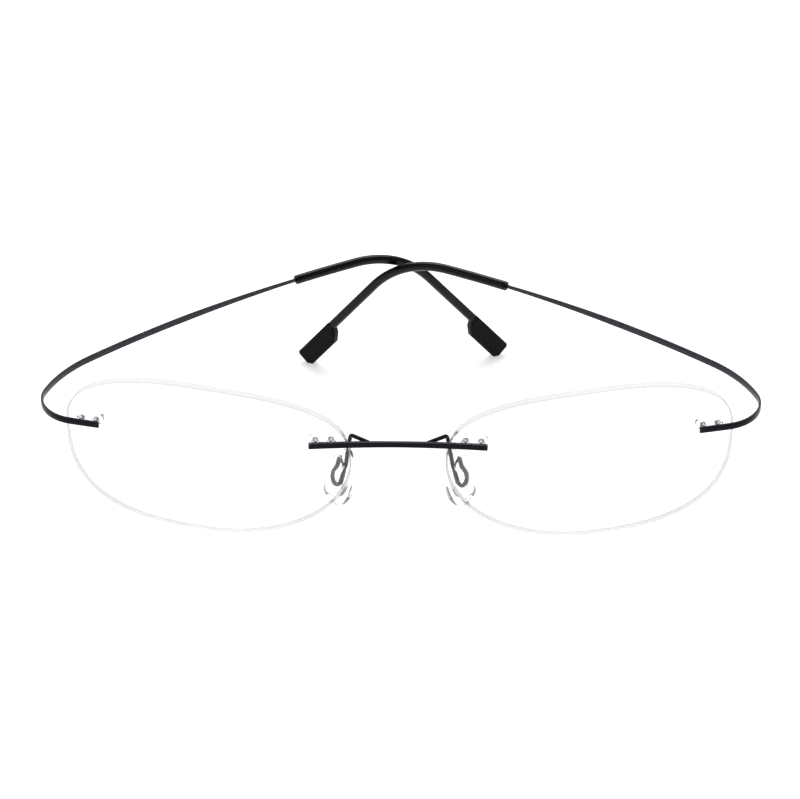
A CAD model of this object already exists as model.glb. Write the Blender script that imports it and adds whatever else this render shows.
# %% [markdown]
# Rimless spectacles with springy ribbon temples.
# The measured parts come in as a fixed frame, in metres, lying as in the picture: lens bottoms and
# temple ends on the table, temples crossed behind. This lesson dresses that frame. Each visible piece
# is modelled again with softer edges and finer curves, in the same place, and gets its finish.

# %% Load the frame
import math

import bpy
from mathutils import Matrix, Vector


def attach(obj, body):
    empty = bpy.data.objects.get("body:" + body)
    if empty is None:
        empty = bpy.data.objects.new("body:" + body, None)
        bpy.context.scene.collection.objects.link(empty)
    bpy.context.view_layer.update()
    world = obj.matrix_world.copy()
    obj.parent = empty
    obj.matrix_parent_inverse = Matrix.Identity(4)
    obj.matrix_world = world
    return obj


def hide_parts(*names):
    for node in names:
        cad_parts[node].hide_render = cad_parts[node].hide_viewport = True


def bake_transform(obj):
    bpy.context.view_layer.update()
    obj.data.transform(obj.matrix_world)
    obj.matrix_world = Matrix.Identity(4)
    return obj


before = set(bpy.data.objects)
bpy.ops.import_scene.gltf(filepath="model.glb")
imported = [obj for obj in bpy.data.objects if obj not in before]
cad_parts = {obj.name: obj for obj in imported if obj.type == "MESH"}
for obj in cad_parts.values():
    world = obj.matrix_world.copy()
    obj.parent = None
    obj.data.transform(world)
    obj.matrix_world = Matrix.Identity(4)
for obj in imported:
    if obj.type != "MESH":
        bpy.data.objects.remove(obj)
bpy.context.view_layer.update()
mm = 0.001

# %% [markdown]
# The camera comes first, so that every piece can be judged against the picture.
# It was a long lens on a table-top set: about 0.6 m away, 28 degrees above the table and turned
# 2 degrees to one side, with a little roll. The picture's middle lies above the lenses, so the camera
# stands by its distance from the lenses and then aims at a point a little higher in the view.

# %% Place the camera
picture_wide = 800
camera_rise = math.radians(28)
camera_turn = math.radians(1.97)
camera_roll = math.radians(-0.41)
camera_distance = 600 * mm
pixels_per_metre = 5.28 / mm
lens_front = Vector((0, -40.1, 16)) * mm
aim_up = 12.54 * mm
aim_right = 0.28 * mm

away = Vector((math.sin(camera_turn) * math.cos(camera_rise),
               -math.cos(camera_turn) * math.cos(camera_rise), math.sin(camera_rise)))
level = Vector((math.cos(camera_turn), math.sin(camera_turn), 0))
upright = level.cross(-away)
view_right = level * math.cos(camera_roll) + upright * math.sin(camera_roll)
view_up = upright * math.cos(camera_roll) - level * math.sin(camera_roll)
camera_place = lens_front + away * camera_distance
aim = lens_front + view_up * aim_up + view_right * aim_right

sight = (aim - camera_place).normalized()
view_right = (view_right - sight * view_right.dot(sight)).normalized()
view_up = view_right.cross(sight)
bpy.ops.object.camera_add()
camera = bpy.context.object
camera.name = "camera"
turned = Matrix((view_right, view_up, -sight)).transposed()
camera.matrix_world = Matrix.Translation(camera_place) @ turned.to_4x4()
camera.data.sensor_width = 36
camera.data.lens = camera.data.sensor_width * pixels_per_metre * camera_distance / picture_wide
camera.data.clip_start = 10 * mm
scene = bpy.context.scene
scene.camera = camera
scene.view_settings.view_transform = "Standard"
print("focal length", round(camera.data.lens, 1), "mm")

# %% [markdown]
# Small tools for modelling. Everything is deselected before a new primitive is added, because the
# frame's own parts arrive selected. Modifiers are applied as soon as they are set. A piece is modelled
# in millimetres in its own frame, and set_down puts it in its place, in metres. On the left it is
# mirrored there, which turns it inside out, so its normals are put right again.

# %% Modelling helpers


def start_fresh():
    if bpy.context.object and bpy.context.object.mode != "OBJECT":
        bpy.ops.object.mode_set(mode="OBJECT")
    bpy.ops.object.select_all(action="DESELECT")


def pick(obj):
    start_fresh()
    obj.select_set(True)
    bpy.context.view_layer.objects.active = obj


def apply_modifier(obj, kind, **settings):
    pick(obj)
    modifier = obj.modifiers.new(kind.lower(), kind)
    for name, value in settings.items():
        setattr(modifier, name, value)
    bpy.ops.object.modifier_apply(modifier=modifier.name)


def outward_normals(obj):
    pick(obj)
    bpy.ops.object.mode_set(mode="EDIT")
    bpy.ops.mesh.select_all(action="SELECT")
    bpy.ops.mesh.remove_doubles(threshold=0.001)
    bpy.ops.mesh.normals_make_consistent(inside=False)
    bpy.ops.object.mode_set(mode="OBJECT")


def set_down(obj, place, side):
    obj.data.transform(Matrix.Scale(side, 4, (1, 0, 0)) @ place)
    outward_normals(obj)
    obj.data.transform(Matrix.Scale(mm, 4))
    obj.data.update()


def smooth(obj, degrees=35):
    pick(obj)
    bpy.ops.object.shade_smooth_by_angle(angle=math.radians(degrees))


def spin_round(centre, axis, turn, steps):
    # Without a window, spin turns against the right-hand rule, so the angle is negated.
    bpy.ops.mesh.spin(steps=steps, angle=-turn, center=centre, axis=axis)


# Left and right as the camera sees them.
sides = (-1, 1)


def side_name(side):
    return "left" if side < 0 else "right"


def report(obj):
    size = [round(d / mm, 2) for d in obj.dimensions]
    print(obj.name, len(obj.data.polygons), "faces,", size, "mm")


# %% [markdown]
# A shader is a small graph. One helper adds a node, sets its values and links its inputs.
# Colours are written as on screen and turned to the linear values that the renderer works in.

# %% Shader helpers


def linear(hex_code):
    parts = [int(hex_code[i:i + 2], 16) / 255 for i in (1, 3, 5)]
    return [c / 12.92 if c <= 0.04045 else ((c + 0.055) / 1.055) ** 2.4 for c in parts] + [1.0]


def new_material(name):
    material = bpy.data.materials.new(name)
    material.use_nodes = True
    material.node_tree.nodes.clear()
    return material


def add_node(tree, kind, links=None, values=None, **settings):
    node = tree.nodes.new(kind)
    for name, value in settings.items():
        setattr(node, name, value)
    for socket, value in (values or {}).items():
        node.inputs[socket].default_value = value
    for socket, source in (links or {}).items():
        tree.links.new(source, node.inputs[socket])
    return node


def dress(obj, *materials):
    obj.data.materials.clear()
    for material in materials:
        obj.data.materials.append(material)


# %% [markdown]
# Coated spring titanium. The strip is rolled, polished along its length and coated in a vacuum chamber.
# The coat is nearly black on the outside of the ribbons and on the bridge, and thinner on the inside of
# the ribbons, where it leaves a violet grey. Edges are a little brighter, where handling has worn them.
# The polishing lines are far finer than a pixel, so they are drawn about 0.25 mm apart.

# %% Coated titanium


def coated_titanium(name, dark, pale, worn_edge):
    material = new_material(name)
    tree = material.node_tree
    line_spacing = 0.25 * mm
    cloud_size = 4 * mm
    place = add_node(tree, "ShaderNodeTexCoord")
    lines = add_node(tree, "ShaderNodeTexNoise", {"Vector": place.outputs["Object"]},
                     {"Scale": 1 / line_spacing, "Detail": 3.0, "Roughness": 0.6})
    clouds = add_node(tree, "ShaderNodeTexNoise", {"Vector": place.outputs["Object"]},
                      {"Scale": 1 / cloud_size, "Detail": 2.0})
    geometry = add_node(tree, "ShaderNodeNewGeometry")
    tint = add_node(tree, "ShaderNodeMix", {"Factor": clouds.outputs["Fac"]}, data_type="RGBA")
    tint.inputs["A"].default_value = linear(dark)
    tint.inputs["B"].default_value = linear(pale)
    edge = add_node(tree, "ShaderNodeMapRange", {"Value": geometry.outputs["Pointiness"]},
                    {"From Min": 0.52, "From Max": 0.62, "To Min": 0.0, "To Max": 0.35})
    worn = add_node(tree, "ShaderNodeMix", {"Factor": edge.outputs["Result"],
                                            "A": tint.outputs["Result"]}, data_type="RGBA")
    worn.inputs["B"].default_value = linear(worn_edge)
    rough = add_node(tree, "ShaderNodeMapRange", {"Value": lines.outputs["Fac"]},
                     {"To Min": 0.24, "To Max": 0.4})
    bump = add_node(tree, "ShaderNodeBump", {"Height": lines.outputs["Fac"]},
                    {"Strength": 0.12, "Distance": 0.01 * mm})
    shader = add_node(tree, "ShaderNodeBsdfPrincipled",
                      {"Base Color": worn.outputs["Result"], "Roughness": rough.outputs["Result"],
                       "Normal": bump.outputs["Normal"]}, {"Metallic": 1.0})
    add_node(tree, "ShaderNodeOutputMaterial", {"Surface": shader.outputs["BSDF"]})
    return material


titanium = coated_titanium("vapour_coated_black_titanium", "#121015", "#1a181d", "#4a484f")
inner_titanium = coated_titanium("thinly_coated_grey_titanium", "#2f2e33", "#39383d", "#5a585f")
print("made", titanium.name, inner_titanium.name)

# %% [markdown]
# Black temple tip. It is one nylon moulding, nearly pure black, with a faint moulding ripple. The sleeve
# part is glossy, with a bright soft highlight along its top. The paddle comes from a finely etched part
# of the mould, so its flat faces are matt and stay dark.

# %% Black moulded nylon


def black_nylon(name, low_rough, high_rough, gloss):
    material = new_material(name)
    tree = material.node_tree
    ripple_size = 0.5 * mm
    place = add_node(tree, "ShaderNodeTexCoord")
    ripple = add_node(tree, "ShaderNodeTexNoise", {"Vector": place.outputs["Object"]},
                      {"Scale": 1 / ripple_size, "Detail": 2.0})
    smudge = add_node(tree, "ShaderNodeTexNoise", {"Vector": place.outputs["Object"]},
                      {"Scale": 0.1 / ripple_size, "Detail": 3.0})
    tone = add_node(tree, "ShaderNodeMix", {"Factor": smudge.outputs["Fac"]}, data_type="RGBA")
    tone.inputs["A"].default_value = linear("#060607")
    tone.inputs["B"].default_value = linear("#0a0a0c")
    rough = add_node(tree, "ShaderNodeMapRange", {"Value": smudge.outputs["Fac"]},
                     {"To Min": low_rough, "To Max": high_rough})
    bump = add_node(tree, "ShaderNodeBump", {"Height": ripple.outputs["Fac"]},
                    {"Strength": 0.08, "Distance": 0.02 * mm})
    shader = add_node(tree, "ShaderNodeBsdfPrincipled",
                      {"Base Color": tone.outputs["Result"], "Roughness": rough.outputs["Result"],
                       "Normal": bump.outputs["Normal"]}, {"Specular IOR Level": gloss})
    add_node(tree, "ShaderNodeOutputMaterial", {"Surface": shader.outputs["BSDF"]})
    return material


nylon = black_nylon("moulded_glossy_black_nylon", 0.16, 0.28, 0.2)
matt_nylon = black_nylon("etched_mould_black_nylon", 0.4, 0.5, 0.1)
print("made", nylon.name, matt_nylon.name)

# %% [markdown]
# Clear pieces: the cast lenses, the moulded plugs and the silicone pads. Light bends through them, so
# each is a refracting shader with its own index. The plain index of the material would bend the wires
# behind the pads out of shape, because a real pad hugs its wire and these leave a thin gap of air
# round it. The indices are therefore set a little low, and lowest for the pads. A clear piece would
# also throw a false dark shadow here, because the renderer follows no light that is focused by glass,
# so shadow rays pass straight through.

# %% Clear materials


def clear_material(name, tint, index, low_rough, high_rough, grain, bump_height):
    material = new_material(name)
    tree = material.node_tree
    place = add_node(tree, "ShaderNodeTexCoord")
    noise = add_node(tree, "ShaderNodeTexNoise", {"Vector": place.outputs["Object"]},
                     {"Scale": 1 / grain, "Detail": 2.0})
    rough = add_node(tree, "ShaderNodeMapRange", {"Value": noise.outputs["Fac"]},
                     {"To Min": low_rough, "To Max": high_rough})
    bump = add_node(tree, "ShaderNodeBump", {"Height": noise.outputs["Fac"]},
                    {"Strength": 0.2, "Distance": bump_height})
    shader = add_node(tree, "ShaderNodeBsdfPrincipled",
                      {"Roughness": rough.outputs["Result"], "Normal": bump.outputs["Normal"]},
                      {"Base Color": linear(tint), "IOR": index, "Transmission Weight": 1.0})
    path = add_node(tree, "ShaderNodeLightPath")
    through = add_node(tree, "ShaderNodeBsdfTransparent", values={"Color": linear("#f4f5f5")})
    mixed = add_node(tree, "ShaderNodeMixShader", {0: path.outputs["Is Shadow Ray"],
                                                   1: shader.outputs["BSDF"],
                                                   2: through.outputs["BSDF"]})
    add_node(tree, "ShaderNodeOutputMaterial", {"Surface": mixed.outputs["Shader"]})
    return material


lens_resin = clear_material("polished_cast_lens_resin", "#fdfefe", 1.4, 0.0, 0.004, 8 * mm, 0.0)
plug_plastic = clear_material("moulded_clear_polyamide", "#fafbfb", 1.3, 0.03, 0.1, 1 * mm, 0.004 * mm)
pad_silicone = clear_material("moulded_clear_silicone", "#fafbfb", 1.25, 0.06, 0.16, 1.5 * mm, 0.01 * mm)
print("made", lens_resin.name, plug_plastic.name, pad_silicone.name)

# %% [markdown]
# The lens edge is ground on a wheel and left satin. It scatters light, so it shows as a pale grey line
# round a lens whose faces can hardly be seen. A half see-through grey with a fine grit does that.
# The lower edge rests on tables and cloths and has worn greyer, so tone and density follow the height.
# The walls of the drilled holes are ground too, but the plugs that are pressed into them leave them
# nearly clear, so that the dark pins show through.

# %% Ground lens edge


def ground_resin(name, low_density, high_density):
    material = new_material(name)
    tree = material.node_tree
    grit = 0.3 * mm
    worn_below = 4 * mm
    clean_above = 22 * mm
    shadow_density = 0.12
    place = add_node(tree, "ShaderNodeTexCoord")
    noise = add_node(tree, "ShaderNodeTexNoise", {"Vector": place.outputs["Object"]},
                     {"Scale": 1 / grit, "Detail": 3.0})
    height = add_node(tree, "ShaderNodeSeparateXYZ", {"Vector": place.outputs["Object"]})
    clean = add_node(tree, "ShaderNodeMapRange", {"Value": height.outputs["Z"]},
                     {"From Min": worn_below, "From Max": clean_above})
    pale = add_node(tree, "ShaderNodeMix", {"Factor": noise.outputs["Fac"]}, data_type="RGBA")
    pale.inputs["A"].default_value = linear("#d9d9da")
    pale.inputs["B"].default_value = linear("#e4e4e5")
    tone = add_node(tree, "ShaderNodeMix", {"Factor": clean.outputs["Result"],
                                            "B": pale.outputs["Result"]}, data_type="RGBA")
    tone.inputs["A"].default_value = linear("#c1c0c3")
    bump = add_node(tree, "ShaderNodeBump", {"Height": noise.outputs["Fac"]},
                    {"Strength": 0.3, "Distance": 0.01 * mm})
    shader = add_node(tree, "ShaderNodeBsdfPrincipled",
                      {"Base Color": tone.outputs["Result"], "Normal": bump.outputs["Normal"]},
                      {"Roughness": 0.5, "Specular IOR Level": 0.0})
    through = add_node(tree, "ShaderNodeBsdfTransparent", values={"Color": linear("#f5f5f5")})
    density = add_node(tree, "ShaderNodeMapRange", {"Value": clean.outputs["Result"]},
                       {"To Min": low_density, "To Max": high_density})
    path = add_node(tree, "ShaderNodeLightPath")
    share = add_node(tree, "ShaderNodeMapRange", {"Value": path.outputs["Is Shadow Ray"],
                                                  "To Min": density.outputs["Result"]},
                     {"To Max": shadow_density})
    mixed = add_node(tree, "ShaderNodeMixShader", {0: share.outputs["Result"],
                                                   1: through.outputs["BSDF"],
                                                   2: shader.outputs["BSDF"]})
    add_node(tree, "ShaderNodeOutputMaterial", {"Surface": mixed.outputs["Shader"]})
    return material


lens_edge = ground_resin("satin_ground_lens_edge", 0.5, 0.4)
hole_wall = ground_resin("drilled_lens_hole", 0.15, 0.15)
print("made", lens_edge.name, hole_wall.name)

# %% [markdown]
# A lens is a shallow bowl of clear resin, 2 mm thick, cut to a soft asymmetric outline.
# It could be carved from a sphere, but that leaves a ragged rim. Here a flat grid is pulled into the
# outline, so the rim is one clean line of points, and its points are then dropped onto the sphere of
# the front face. Solidify gives the thickness, and Bevel breaks the sharp rim as the grinder does.

# %% Lens shape
centre_spacing = 72.0
reach_temporal = 26.3
reach_nasal = 28.0
reach_up = 13.0
reach_down = 20.1
outline_shear = 0.12
outline_middle = (1.0, 4.0)
fullness = (2.25, 2.7, 2.0, 2.9)
lens_thick = 2.0
front_radius = 140.0
wrap = math.radians(4.3)
lean = math.radians(8)
depth_middle = 40.3
clear = 0.05


def signed_power(value, exponent):
    return math.copysign(abs(value) ** (2 / exponent), value)


def outline_offset(turn):
    turn = turn % (2 * math.pi)
    wide = reach_temporal if math.cos(turn) >= 0 else reach_nasal
    tall = reach_up if math.sin(turn) >= 0 else reach_down
    power = fullness[min(3, int(turn // (math.pi / 2)))]
    across = wide * signed_power(math.cos(turn), power)
    return across, tall * signed_power(math.sin(turn), power) + outline_shear * across


def front_at(across, up, ahead=0.0):
    sag = front_radius - math.sqrt(front_radius ** 2 - across ** 2 - up ** 2)
    return Vector((across, sag - lens_thick / 2 - ahead, up))


lens_turn = Matrix.Rotation(lean, 4, "X") @ Matrix.Rotation(wrap, 4, "Z")
rim_steps = 96
rim_angles = [2 * math.pi * i / rim_steps for i in range(rim_steps)]
rim_points = [front_at(outline_middle[0] + x, outline_middle[1] + z)
              for x, z in map(outline_offset, rim_angles)]
lens_low = min((lens_turn @ p).z for p in rim_points)
lens_centre = Vector((centre_spacing / 2, -depth_middle, -lens_low))


def on_lens(across, up, ahead):
    return lens_centre + lens_turn @ front_at(across, up, ahead)


print("lens centre", [round(c, 2) for c in lens_centre])

# %% [markdown]
# The ribbon lies on the lens front near its temple side, and the bridge bar lies near its nose side.
# Both leave the lens squarely, so their headings come from the lens curve where they sit.

# %% Where the metal meets the lens
ribbon_thick = 0.45
ribbon_wide = 1.3
ribbon_narrow = 0.65
mount_at = (20.75, 7.3)
bar_at = (-22.0, 5.4)
bar_half = 16.9
bar_tall = 1.1
bar_thick = 0.85
pin_pitch = 2.9
first_pin = 1.1
hole_d = 1.5

mount_point = on_lens(*mount_at, clear + ribbon_thick / 2)
mount_heading = wrap + math.asin(mount_at[0] / front_radius)
mount_lean = lean - math.asin(mount_at[1] / front_radius)
strip_radius = front_radius + clear + ribbon_thick / 2
bar_point = on_lens(*bar_at, clear + bar_thick / 2)
bar_slope = math.asin(-bar_at[0] / front_radius) - wrap
bar_lean = lean - math.asin(bar_at[1] / front_radius)
bar_radius = bar_point.x / math.sin(bar_slope)
bar_y = bar_point.y + bar_radius * (1 - math.cos(bar_slope))
bar_origin = Vector((0, bar_y - bar_radius * math.cos(bar_lean),
                     bar_point.z - bar_radius * math.sin(bar_lean)))
ribbon_place = Matrix.Translation(mount_point) @ Matrix.Rotation(mount_lean, 4, "X")
bar_place = Matrix.Translation(bar_origin) @ Matrix.Rotation(bar_lean, 4, "X")


def arc_centre(state, radius):
    x, y, heading = state
    return Vector((x - radius * math.sin(heading), y + radius * math.cos(heading), 0))


def after(state, radius, turn):
    centre = arc_centre(state, radius)
    heading = state[2] + turn
    return (centre.x + radius * math.sin(heading), centre.y - radius * math.cos(heading), heading)


def temple_pin_place(along):
    centre = arc_centre((0, 0, mount_heading), strip_radius)
    turn = mount_heading - math.pi / 2 + along / strip_radius
    out = Matrix.Rotation(turn, 4, "Z") @ Matrix.Translation((strip_radius - ribbon_thick / 2, 0, 0))
    return ribbon_place @ Matrix.Translation(centre) @ out @ Matrix.Rotation(-math.pi / 2, 4, "Y")


def bridge_pin_place(offset):
    turn = math.pi / 2 - bar_slope - offset / bar_radius
    out = Matrix.Rotation(turn, 4, "Z") @ Matrix.Translation((bar_radius + bar_thick / 2, 0, 0))
    return bar_place @ out @ Matrix.Rotation(math.pi / 2, 4, "Y")


temple_pins = [temple_pin_place(first_pin + i * pin_pitch) for i in (0, 1)]
bridge_pins = [bridge_pin_place(i * pin_pitch) for i in (-0.5, 0.5)]
print("ribbon starts at", [round(c, 2) for c in mount_point])

# %% Make the lenses
grid_steps = 72
edge_break = 0.2
hole_sides = 24
hole_reach = 8.0


def drill(obj, places, diameter, *materials):
    # The walls of a hole get the last of the materials.
    for place in places:
        start_fresh()
        bpy.ops.mesh.primitive_cylinder_add(vertices=hole_sides, radius=diameter / 2, depth=hole_reach)
        cutter = bpy.context.object
        cutter.data.transform(place)
        dress(cutter, *materials)
        for face in cutter.data.polygons:
            face.material_index = len(materials) - 1
        apply_modifier(obj, "BOOLEAN", operation="DIFFERENCE", object=cutter, solver="EXACT")
        bpy.data.objects.remove(cutter)


def ring_place(u, v):
    # The square rings of the grid become rings of the outline, evenly spaced right up to the edge.
    if abs(u) >= abs(v):
        reach = u
        turn = math.pi / 4 * v / u if u else 0
    else:
        reach = v
        turn = math.pi / 2 - math.pi / 4 * u / v
    return abs(reach), math.atan2(reach * math.sin(turn), reach * math.cos(turn))


def make_lens(side):
    start_fresh()
    bpy.ops.mesh.primitive_grid_add(x_subdivisions=grid_steps, y_subdivisions=grid_steps, size=2)
    lens = bpy.context.object
    lens.name = f"clear_lens_{side_name(side)}"
    dress(lens, lens_resin, lens_edge, hole_wall)
    for vertex in lens.data.vertices:
        reach, turn = ring_place(vertex.co.x, vertex.co.y)
        across, up = outline_offset(turn)
        vertex.co = front_at(outline_middle[0] + reach * across, outline_middle[1] + reach * up)
    lens.data.transform(Matrix.Translation(lens_centre) @ lens_turn)
    outward_normals(lens)
    apply_modifier(lens, "SOLIDIFY", thickness=lens_thick, offset=-1, material_offset_rim=1)
    apply_modifier(lens, "BEVEL", width=edge_break, segments=1, limit_method="ANGLE",
                   angle_limit=math.radians(60), material=1)
    drill(lens, temple_pins + bridge_pins, hole_d, lens_resin, lens_edge, hole_wall)
    set_down(lens, Matrix(), side)
    smooth(lens)
    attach(lens, "front")
    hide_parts(f"lens_{side_name(side)}")
    report(lens)


for side in sides:
    make_lens(side)

# %% [markdown]
# A temple is one flat titanium ribbon: it lies on the lens, turns the corner, eases into a long shallow
# bow and narrows towards the sleeve. It could be a bevelled curve, but the bends are true arcs, so the
# cross-section is spun round one centre after another, the way a strip is bent round a row of pegs.
# The whole ribbon is one mesh. From the start of the corner to the middle of the easy bend after it, it
# bends with the temple's joint, whose axis stands at the middle of the corner, so the corner opens up.

# %% Ribbon path
strip_length = 5.8
corner_radius = 8.5
corner_turn = {-1: math.radians(90.4), 1: math.radians(93.3)}
easy_radius = 28.0
easy_turn = math.radians(29.2)
run_radius = 248.0
run_length = 50.0
taper_start = 24.0
core_inside = 3.0
inner_end = (0.0, 0.0, mount_heading)
corner_arc, easy_arc, run_arc = 1, 2, 3


def ribbon_arcs(side):
    arcs = [(strip_radius, strip_length / strip_radius, 8), (corner_radius, corner_turn[side], 40),
            (easy_radius, easy_turn, 20), (run_radius, run_length / run_radius, 40),
            (run_radius, core_inside / run_radius, 2)]
    state = inner_end
    path = []
    for radius, turn, steps in arcs:
        path.append((state, radius, turn, steps))
        state = after(state, radius, turn)
    return path


def section_place(state):
    x, y, heading = state
    ahead = Vector((math.cos(heading), math.sin(heading), 0))
    across = Vector((-math.sin(heading), math.cos(heading), 0))
    turned = Matrix((across, Vector((0, 0, 1)), ahead)).transposed()
    return Matrix.Translation((x, y, 0)) @ turned.to_4x4()


print("temple length along the ribbon",
      round(sum(radius * turn for _, radius, turn, _ in ribbon_arcs(-1)), 1), "mm to the sleeve")

# %% Make the ribbons
ribbon_round = 0.1
fold_middle = Vector((-10, 12, 0))


def make_ribbon(side):
    path = ribbon_arcs(side)
    start_fresh()
    bpy.ops.mesh.primitive_plane_add(size=1)
    ribbon = bpy.context.object
    ribbon.name = f"temple_ribbon_{side_name(side)}"
    ribbon.data.transform(section_place(inner_end) @ Matrix.Diagonal((ribbon_thick, ribbon_wide, 1, 1)))
    bpy.ops.object.mode_set(mode="EDIT")
    bpy.ops.mesh.select_all(action="SELECT")
    for state, radius, turn, steps in path:
        spin_round(arc_centre(state, radius), (0, 0, 1), turn, steps)
    bpy.ops.object.mode_set(mode="OBJECT")
    run_state = path[run_arc][0]
    run_centre = arc_centre(run_state, run_radius)
    for vertex in ribbon.data.vertices:
        turn = math.atan2(vertex.co.y - run_centre.y, vertex.co.x - run_centre.x)
        along = (turn - run_state[2] + math.pi / 2) * run_radius
        share = min(1, max(0, (along - taper_start) / (run_length - taper_start)))
        vertex.co.z *= 1 - share * (1 - ribbon_narrow / ribbon_wide)
    outward_normals(ribbon)
    apply_modifier(ribbon, "BEVEL", width=ribbon_round, segments=2, limit_method="ANGLE",
                   angle_limit=math.radians(50))
    dress(ribbon, titanium, inner_titanium)
    for face in ribbon.data.polygons:
        inside = face.normal.dot((fold_middle - face.center).normalized()) > 0
        face.material_index = 1 if inside and abs(face.normal.z) < 0.5 else 0
    set_down(ribbon, ribbon_place, side)
    smooth(ribbon)
    name = side_name(side)
    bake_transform(ribbon)
    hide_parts(f"temple_mount_{name}", f"temple_flexure_{name}", f"temple_arm_{name}")
    report(ribbon)


for side in sides:
    make_ribbon(side)

# %% [markdown]
# A temple tip is a round black sleeve that follows the ribbon, bends down behind the ear and ends in a
# flat paddle with chamfered edges. The sleeve is a disc, spun along the run and round the ear bend and
# then pulled out straight. Its mouth is inset and pushed in, where the ribbon goes. The paddle is an
# outline pulled to its thickness and chamfered, and a Boolean union makes the two one piece.

# %% Tip shape
sleeve_d = 1.9
bore_d = 0.95
sleeve_lead = 13.9
ear_radius = 22.0
ear_turn = math.radians(50.7)
ear_tilt = math.radians(3.8)
ear_drop = ear_radius * (1 - math.cos(ear_turn))
paddle_long = 11.4
paddle_wide = 4.0
paddle_thick = 2.2
paddle_corner = 0.9
paddle_shoulder = 2.2
paddle_side = paddle_wide - sleeve_d / 2


def ear_state(side):
    state, radius, turn, _ = ribbon_arcs(side)[run_arc]
    return after(state, radius, turn + sleeve_lead / run_radius)


def ear_place(side):
    x, y, heading = ear_state(side)
    return (Matrix.Translation((x, y, 0)) @ Matrix.Rotation(heading, 4, "Z")
            @ Matrix.Rotation(ear_tilt, 4, "X"))


def tail_place(side):
    bend_end = Vector((ear_radius * math.sin(ear_turn), 0, -ear_drop))
    return ear_place(side) @ Matrix.Translation(bend_end) @ Matrix.Rotation(ear_turn, 4, "Y")


def tail_length(side):
    place = ribbon_place @ tail_place(side)

    def lowest(long):
        corners = [(long, paddle_side - paddle_corner), (long - paddle_corner, paddle_side)]
        return min((place @ Vector((along, face, -aside))).z
                   for along, aside in corners for face in (-paddle_thick / 2, paddle_thick / 2))

    return lowest(0) / (lowest(0) - lowest(1))


print("tail lengths", [round(tail_length(side), 2) for side in sides])

# %% Make the paddles
chamfer = 0.4


def make_paddle(side):
    long = tail_length(side)
    root = long - paddle_long
    edge = sleeve_d / 2
    nick = paddle_corner / 2
    outline = [(root - paddle_corner, nick - edge), (root, -edge),
               (long - nick, -edge), (long, nick - edge),
               (long, paddle_side - paddle_corner), (long - paddle_corner, paddle_side),
               (root + paddle_shoulder, paddle_side), (root + nick, edge + paddle_corner),
               (root - nick, edge - nick)]
    start_fresh()
    bpy.ops.mesh.primitive_circle_add(vertices=len(outline), radius=1, fill_type="NGON")
    paddle = bpy.context.object
    for vertex, (along, aside) in zip(paddle.data.vertices, outline):
        vertex.co = (along, -paddle_thick / 2, -aside)
    bpy.ops.object.mode_set(mode="EDIT")
    bpy.ops.mesh.select_all(action="SELECT")
    bpy.ops.mesh.extrude_region_move(TRANSFORM_OT_translate={"value": (0, paddle_thick, 0)})
    bpy.ops.object.mode_set(mode="OBJECT")
    outward_normals(paddle)
    apply_modifier(paddle, "BEVEL", width=chamfer, segments=1, limit_method="ANGLE",
                   angle_limit=math.radians(70))
    paddle.data.transform(tail_place(side))
    dress(paddle, nylon, matt_nylon)
    for face in paddle.data.polygons:
        face.material_index = 1
    return paddle


# %% Make the tips
sleeve_sides = 32
lead_steps = 12
bend_steps = 32
inside_paddle = 1.0
mouth_depth = 1.2
rim_round = 0.15


def make_tip(side):
    state = after(*ribbon_arcs(side)[run_arc][:3])
    ear = ear_place(side)
    start_fresh()
    bpy.ops.mesh.primitive_circle_add(vertices=sleeve_sides, radius=sleeve_d / 2, fill_type="NGON")
    tip = bpy.context.object
    tip.name = f"black_tip_{side_name(side)}"
    dress(tip, nylon, matt_nylon)
    tip.data.transform(section_place(state))
    bpy.ops.object.mode_set(mode="EDIT")
    bpy.ops.mesh.select_all(action="SELECT")
    spin_round(arc_centre(state, run_radius), (0, 0, 1), sleeve_lead / run_radius, lead_steps)
    bend_axis = ear.to_3x3() @ Vector((0, 1, 0))
    spin_round(ear @ Vector((0, 0, -ear_radius)), bend_axis, ear_turn, bend_steps)
    tail_way = tail_place(side).to_3x3() @ Vector((tail_length(side) - inside_paddle, 0, 0))
    bpy.ops.mesh.extrude_region_move(TRANSFORM_OT_translate={"value": tail_way})
    bpy.ops.object.mode_set(mode="OBJECT")
    outward_normals(tip)
    mouth_at = Vector((state[0], state[1], 0))
    mouth = min(tip.data.polygons, key=lambda face: (face.center - mouth_at).length).index
    pick(tip)
    bpy.ops.object.mode_set(mode="EDIT")
    bpy.ops.mesh.select_mode(type="FACE")
    bpy.ops.mesh.select_all(action="DESELECT")
    bpy.ops.object.mode_set(mode="OBJECT")
    tip.data.polygons[mouth].select = True
    bpy.ops.object.mode_set(mode="EDIT")
    bpy.ops.mesh.inset(thickness=(sleeve_d - bore_d) / 2)
    inward = Vector((math.cos(state[2]), math.sin(state[2]), 0)) * mouth_depth
    bpy.ops.mesh.extrude_region_move(TRANSFORM_OT_translate={"value": inward})
    bpy.ops.object.mode_set(mode="OBJECT")
    apply_modifier(tip, "BEVEL", width=rim_round, segments=2, limit_method="ANGLE",
                   angle_limit=math.radians(60))
    paddle = make_paddle(side)
    apply_modifier(tip, "BOOLEAN", operation="UNION", object=paddle, solver="EXACT")
    bpy.data.objects.remove(paddle)
    set_down(tip, ribbon_place, side)
    smooth(tip, 30)
    name = side_name(side)
    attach(tip, f"{name}_temple")
    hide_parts(f"temple_tip_{name}")
    report(tip)


for side in sides:
    make_tip(side)

# %% [markdown]
# The bridge is one flat bar, bowed back over the nose and slightly slimmer in the middle.
# Its section is spun through the whole bow in one go, and the waist is pressed in afterwards.

# %% Make the bridge bar
bar_waist = 0.04
waist_end = 10.0
bar_round = 0.14
bow_steps = 64


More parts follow.
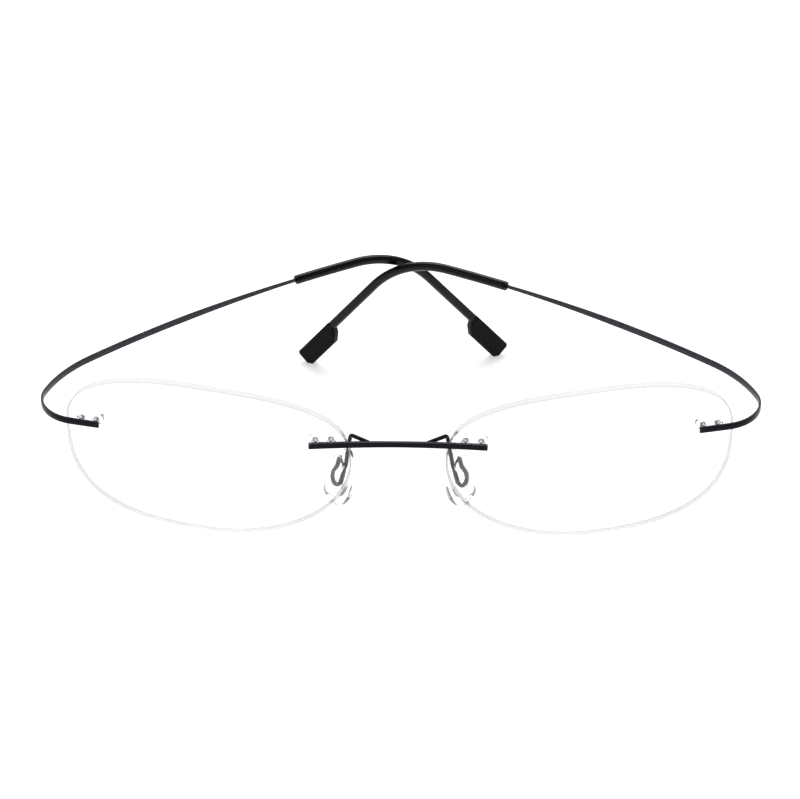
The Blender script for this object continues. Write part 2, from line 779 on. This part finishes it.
def make_bar():
    end_turn = bar_half / bar_radius
    first = math.pi / 2 - end_turn
    start = (bar_radius * math.cos(first), bar_radius * math.sin(first), first + math.pi / 2)
    start_fresh()
    bpy.ops.mesh.primitive_plane_add(size=1)
    bar = bpy.context.object
    bar.name = "bridge_bar_bowed"
    bar.data.transform(section_place(start) @ Matrix.Diagonal((bar_thick, bar_tall, 1, 1)))
    bpy.ops.object.mode_set(mode="EDIT")
    bpy.ops.mesh.select_all(action="SELECT")
    spin_round((0, 0, 0), (0, 0, 1), 2 * end_turn, bow_steps)
    bpy.ops.object.mode_set(mode="OBJECT")
    for vertex in bar.data.vertices:
        share = max(0, 1 - abs(vertex.co.x) / waist_end)
        vertex.co.z *= 1 - 2 * bar_waist / bar_tall * share * share * (3 - 2 * share)
    outward_normals(bar)
    apply_modifier(bar, "BEVEL", width=bar_round, segments=2, limit_method="ANGLE",
                   angle_limit=math.radians(50))
    set_down(bar, bar_place, 1)
    smooth(bar)
    dress(bar, titanium)
    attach(bar, "front")
    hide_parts("bridge_bar")
    report(bar)


make_bar()

# %% [markdown]
# Each pad hangs on a fine wire that is soldered behind the bar, steps back past the lens edge, drops
# and turns up in a narrow loop, which clips into the pad. A wire former bends it round pegs, and so
# does this: the disc is pulled out straight to each bend and spun round the bend's own centre.

# %% Wire bending
pad_long = 12.4
pad_wide = 6.6
pad_thick = 1.7
pad_splay = math.radians(35)
pad_spread = math.radians(15)
wire_d = 0.8
pad_centre = Vector((11.1, 7 - depth_middle, 10))
pad_place = (Matrix.Translation(pad_centre) @ Matrix.Rotation(-pad_spread, 4, "Y")
             @ Matrix.Rotation(-pad_splay, 4, "Z"))
slot_floor = 0.6
slot_thick = 1.5
slot_wide = 4.4
wire_lane = slot_floor + slot_thick / 2
loop_half = 1.45
loop_low = -1.0
loop_neck = 4.4
loop_side = 0.9
stub_y = 0.8
stub_low = 2.5
stub_top = 4.7
solder_gap = 0.3


def in_pad(y, z):
    return pad_place @ Vector((wire_lane, y, z))


wire_path = [Vector((5.6, bar_y + bar_thick / 2 + solder_gap, bar_point.z)),
             Vector((9.1, bar_y + 4.3, bar_point.z - 0.3)),
             Vector((9.9, bar_y + 5.6, 17)),
             in_pad(-loop_half, loop_neck), in_pad(-loop_half, loop_low),
             in_pad(loop_half, loop_low), in_pad(loop_half, loop_side),
             in_pad(stub_y, stub_low), in_pad(stub_y, stub_top)]
wire_bends = [0, 0.9, 2.5, 2.5, 1.4, 1.4, 1.2, 1.2, 0]


def bend_wire(path, bends, steps):
    reached = path[0]
    for i in range(1, len(path) - 1):
        before = (path[i] - path[i - 1]).normalized()
        behind = (path[i + 1] - path[i]).normalized()
        turn = before.angle(behind)
        tangent = path[i] - before * bends[i] * math.tan(turn / 2)
        bpy.ops.mesh.extrude_region_move(TRANSFORM_OT_translate={"value": tangent - reached})
        centre = path[i] + (behind - before).normalized() * bends[i] / math.cos(turn / 2)
        spin_round(centre, before.cross(behind).normalized(), turn, steps)
        reached = path[i] + behind * bends[i] * math.tan(turn / 2)
    bpy.ops.mesh.extrude_region_move(TRANSFORM_OT_translate={"value": path[-1] - reached})


# %% Make the pad arms
wire_sides = 20
wire_steps = 10
wire_round = 0.12


def make_arm(side):
    start_fresh()
    bpy.ops.mesh.primitive_circle_add(vertices=wire_sides, radius=wire_d / 2, fill_type="NGON")
    arm = bpy.context.object
    arm.name = f"pad_arm_wire_{side_name(side)}"
    first_way = (wire_path[1] - wire_path[0]).to_track_quat("Z", "Y")
    arm.data.transform(Matrix.Translation(wire_path[0]) @ first_way.to_matrix().to_4x4())
    bpy.ops.object.mode_set(mode="EDIT")
    bpy.ops.mesh.select_all(action="SELECT")
    bend_wire(wire_path, wire_bends, wire_steps)
    bpy.ops.object.mode_set(mode="OBJECT")
    outward_normals(arm)
    apply_modifier(arm, "BEVEL", width=wire_round, segments=2, limit_method="ANGLE",
                   angle_limit=math.radians(60))
    set_down(arm, Matrix(), side)
    smooth(arm)
    dress(arm, titanium)
    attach(arm, "front")
    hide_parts(f"pad_arm_{side_name(side)}")
    report(arm)


for side in sides:
    make_arm(side)

# %% [markdown]
# A nose pad is moulded from clear silicone: an oval with a crowned face towards the nose and a boss
# behind, with a slot that holds the wire loop. The face is an oval pulled to its thickness and inset
# ring by ring, and its points are then laid on a shallow crown. The boss gets its slot by a Boolean.

# %% Make the nose pads
pad_crown = 16.0
pad_power = 2.3
pad_points = 64
pad_round = 0.35
boss_wide = 5.4
boss_long = 9.4
boss_thick = 2.4
boss_up = 0.6
boss_root = 0.2
boss_power = 2.6
boss_points = 48
boss_round = 0.5
slot_round = 0.3
face_rings = 5
ring_step = 0.5


def oval(half_wide, half_long, power, count, name):
    start_fresh()
    bpy.ops.mesh.primitive_circle_add(vertices=count, radius=1, fill_type="NGON")
    shape = bpy.context.object
    shape.name = name
    for vertex in shape.data.vertices:
        turn = math.atan2(vertex.co.y, vertex.co.x)
        vertex.co = (0, half_wide * signed_power(math.cos(turn), power),
                     half_long * signed_power(math.sin(turn), power))
    return shape


def make_boss():
    boss = oval(boss_wide / 2, boss_long / 2, boss_power, boss_points, "boss")
    boss.data.transform(Matrix.Translation((-boss_root, 0, boss_up)))
    bpy.ops.object.mode_set(mode="EDIT")
    bpy.ops.mesh.select_all(action="SELECT")
    bpy.ops.mesh.extrude_region_move(TRANSFORM_OT_translate={"value": (boss_thick + boss_root, 0, 0)})
    bpy.ops.object.mode_set(mode="OBJECT")
    outward_normals(boss)
    apply_modifier(boss, "BEVEL", width=boss_round, segments=4, limit_method="ANGLE",
                   angle_limit=math.radians(60))
    start_fresh()
    bpy.ops.mesh.primitive_cube_add(size=1)
    slot = bpy.context.object
    slot_low = loop_low - (slot_wide - 2 * loop_half) / 2
    slot.data.transform(Matrix.Translation((wire_lane, 0, slot_low + boss_long))
                        @ Matrix.Diagonal((slot_thick, slot_wide, 2 * boss_long, 1)))
    apply_modifier(slot, "BEVEL", width=slot_round, segments=3, limit_method="ANGLE",
                   angle_limit=math.radians(60))
    apply_modifier(boss, "BOOLEAN", operation="DIFFERENCE", object=slot, solver="EXACT")
    bpy.data.objects.remove(slot)
    return boss


def make_pad(side):
    name = side_name(side)
    pad = oval(pad_wide / 2, pad_long / 2, pad_power, pad_points, f"silicone_pad_{name}")
    bpy.ops.object.mode_set(mode="EDIT")
    bpy.ops.mesh.select_all(action="SELECT")
    bpy.ops.mesh.extrude_region_move(TRANSFORM_OT_translate={"value": (-pad_thick, 0, 0)})
    for _ in range(face_rings):
        bpy.ops.mesh.inset(thickness=ring_step)
    bpy.ops.object.mode_set(mode="OBJECT")
    for vertex in pad.data.vertices:
        if vertex.co.x < -pad_thick / 2:
            out = vertex.co.y ** 2 + vertex.co.z ** 2
            vertex.co.x = pad_crown - pad_thick - math.sqrt(pad_crown ** 2 - out)
    outward_normals(pad)
    apply_modifier(pad, "BEVEL", width=pad_round, segments=4, limit_method="ANGLE",
                   angle_limit=math.radians(40))
    boss = make_boss()
    apply_modifier(pad, "BOOLEAN", operation="UNION", object=boss, solver="EXACT")
    bpy.data.objects.remove(boss)
    set_down(pad, pad_place, side)
    smooth(pad)
    dress(pad, pad_silicone)
    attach(pad, f"{name}_pad")
    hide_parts(f"nose_pad_{name}")
    report(pad)


for side in sides:
    make_pad(side)

# %% [markdown]
# Two pins stand out of the metal at each mount and pass through the lens into a clear double plug.
# The pins are the frame's own parts. A plug is two short tubes in the lens holes under one oblong head.

# %% Make the plugs
plug_head = 1.5
plug_tall = 2.4
pin_d = 0.9
head_round = 0.35
head_points = 48
tube_overlap = 0.2
bore_end = 2.65


def make_plug(kind, pins, side):
    middle = pins[0].lerp(pins[1], 0.5)
    head_at = lens_thick + 3 * clear
    start_fresh()
    bpy.ops.mesh.primitive_circle_add(vertices=head_points, radius=plug_tall / 2, fill_type="NGON")
    plug = bpy.context.object
    plug.name = f"clear_plug_{kind}_{side_name(side)}"
    for vertex in plug.data.vertices:
        vertex.co.y += math.copysign(pin_pitch / 2, vertex.co.y)
        vertex.co.z = head_at
    bpy.ops.object.mode_set(mode="EDIT")
    bpy.ops.mesh.select_all(action="SELECT")
    bpy.ops.mesh.extrude_region_move(TRANSFORM_OT_translate={"value": (0, 0, plug_head)})
    bpy.ops.object.mode_set(mode="OBJECT")
    outward_normals(plug)
    apply_modifier(plug, "BEVEL", width=head_round, segments=4, limit_method="ANGLE",
                   angle_limit=math.radians(60))
    plug.data.transform(middle)
    for place in pins:
        start_fresh()
        bpy.ops.mesh.primitive_cylinder_add(vertices=hole_sides, radius=(hole_d - clear) / 2,
                                            depth=lens_thick)
        tube = bpy.context.object
        tube.data.transform(place @ Matrix.Translation((0, 0, clear + lens_thick / 2 + tube_overlap)))
        apply_modifier(plug, "BOOLEAN", operation="UNION", object=tube, solver="EXACT")
        bpy.data.objects.remove(tube)
    bores = [place @ Matrix.Translation((0, 0, bore_end - hole_reach / 2)) for place in pins]
    drill(plug, bores, pin_d + clear, plug_plastic)
    set_down(plug, Matrix(), side)
    smooth(plug)
    dress(plug, plug_plastic)
    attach(plug, "front")
    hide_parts(f"{kind}_plug_{side_name(side)}")
    report(plug)


for side in sides:
    make_plug("temple", temple_pins, side)
    make_plug("bridge", bridge_pins, side)
    for kind in ("temple", "bridge"):
        dress(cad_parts[f"{kind}_pins_{side_name(side)}"], titanium)

# %% [markdown]
# The set is a wide sheet of white paper under soft boxes, in a dim room. The paper is a matt white that
# takes the faint shadows, and the camera sees a little glow on it, also through glass and in metal, so
# that it reads as white as in the picture. The dim room is what draws the clear pieces: their rounded
# edges bend the view away from the paper and show it as grey strokes. The big box behind and above
# gives the black sleeves their pale upper edge.

# %% White table


def white_paper():
    material = new_material("matt_white_paper")
    tree = material.node_tree
    fibre = 1.5 * mm
    paper_glow = 0.5
    place = add_node(tree, "ShaderNodeTexCoord")
    noise = add_node(tree, "ShaderNodeTexNoise", {"Vector": place.outputs["Object"]},
                     {"Scale": 1 / fibre})
    tone = add_node(tree, "ShaderNodeMix", {"Factor": noise.outputs["Fac"]}, data_type="RGBA")
    tone.inputs["A"].default_value = linear("#f3f3f3")
    tone.inputs["B"].default_value = linear("#f7f7f7")
    paper = add_node(tree, "ShaderNodeBsdfDiffuse", {"Color": tone.outputs["Result"]})
    path = add_node(tree, "ShaderNodeLightPath")
    seen = add_node(tree, "ShaderNodeMath", {0: path.outputs["Is Camera Ray"],
                                             1: path.outputs["Is Glossy Ray"]}, operation="MAXIMUM")
    seen = add_node(tree, "ShaderNodeMath", {0: seen.outputs["Value"],
                                             1: path.outputs["Is Transmission Ray"]}, operation="MAXIMUM")
    glow = add_node(tree, "ShaderNodeMath", {0: seen.outputs["Value"]}, {1: paper_glow},
                    operation="MULTIPLY")
    light = add_node(tree, "ShaderNodeEmission", {"Strength": glow.outputs["Value"]})
    both = add_node(tree, "ShaderNodeAddShader", {0: paper.outputs["BSDF"],
                                                  1: light.outputs["Emission"]})
    add_node(tree, "ShaderNodeOutputMaterial", {"Surface": both.outputs["Shader"]})
    return material


table_wide = 12
start_fresh()
bpy.ops.mesh.primitive_plane_add(size=table_wide)
table = bpy.context.object
table.name = "white_table"
dress(table, white_paper())

# %% Soft boxes and the room
soft_boxes = {
    "back_box": ((0, 0.64, 0.79), (0, 0, 0.02), (1.2, 0.6), 9.0),
    "left_box": ((-0.8, -0.5, 0.6), (0, 0, 0.01), (0.5, 0.5), 0.6),
}
for name, (place, target, size, power) in soft_boxes.items():
    bpy.ops.object.light_add(type="AREA", location=place)
    lamp = bpy.context.object
    lamp.name = name
    lamp.data.shape = "RECTANGLE"
    lamp.data.size, lamp.data.size_y = size
    lamp.data.energy = power
    lamp.rotation_euler = (Vector(target) - Vector(place)).to_track_quat("-Z", "Y").to_euler()

room_light = 0.3
room = bpy.data.worlds.new("dim_room")
scene.world = room
room.use_nodes = True
tree = room.node_tree
tree.nodes.clear()
sky = add_node(tree, "ShaderNodeBackground", values={"Color": linear("#ffffff"), "Strength": room_light})
add_node(tree, "ShaderNodeOutputWorld", {"Surface": sky.outputs["Background"]})
print("lit by", ", ".join(soft_boxes))
